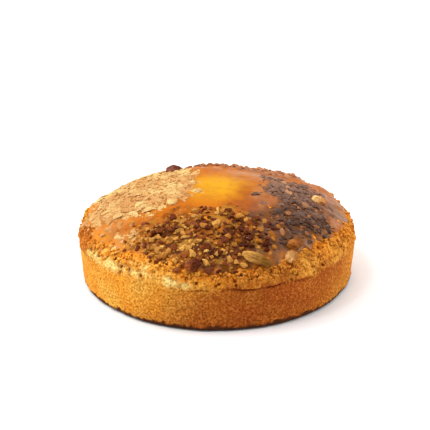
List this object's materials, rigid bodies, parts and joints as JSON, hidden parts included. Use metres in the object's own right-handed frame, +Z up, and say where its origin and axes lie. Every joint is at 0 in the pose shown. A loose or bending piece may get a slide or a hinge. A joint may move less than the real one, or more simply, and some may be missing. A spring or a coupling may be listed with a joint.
{
  "type": "caramel cake",
  "caption": "Round uncut butter sponge with a cracked rim and a high dome glazed with caramel and topped with chopped pistachio, walnut, almond and hazelnut.",
  "frame": {"origin": "centre of the cake's flat base", "axes": "+Z up through the dome; -Y is the front, where the pistachio field is"},
  "size_m": [0.2269, 0.227, 0.0774],
  "materials": {
    "sponge": "baked golden-brown crumb, fine pores, dry and matt on the side, glazed on the dome",
    "caramel": "clear amber caramel glaze, wet-looking",
    "walnut": "toasted dark nut under caramel",
    "pistachio": "chopped green-gold kernel with purple-brown skin under caramel",
    "hazelnut": "pale toasted nut under caramel",
    "almond": "cream almond flake, lightly toasted"
  },
  "bodies": {
    "root": {"cake": "sponge", "walnut_half_front": "walnut", "walnut_piece_back": "walnut", "pistachio_whole_front": "pistachio", "hazelnut_half_right": "hazelnut", "hazelnut_lump_right": "hazelnut", "hazelnut_piece_right": "hazelnut", "almond_flake_upper": "almond", "almond_flake_lower": "almond"}
  },
  "joints": []
}
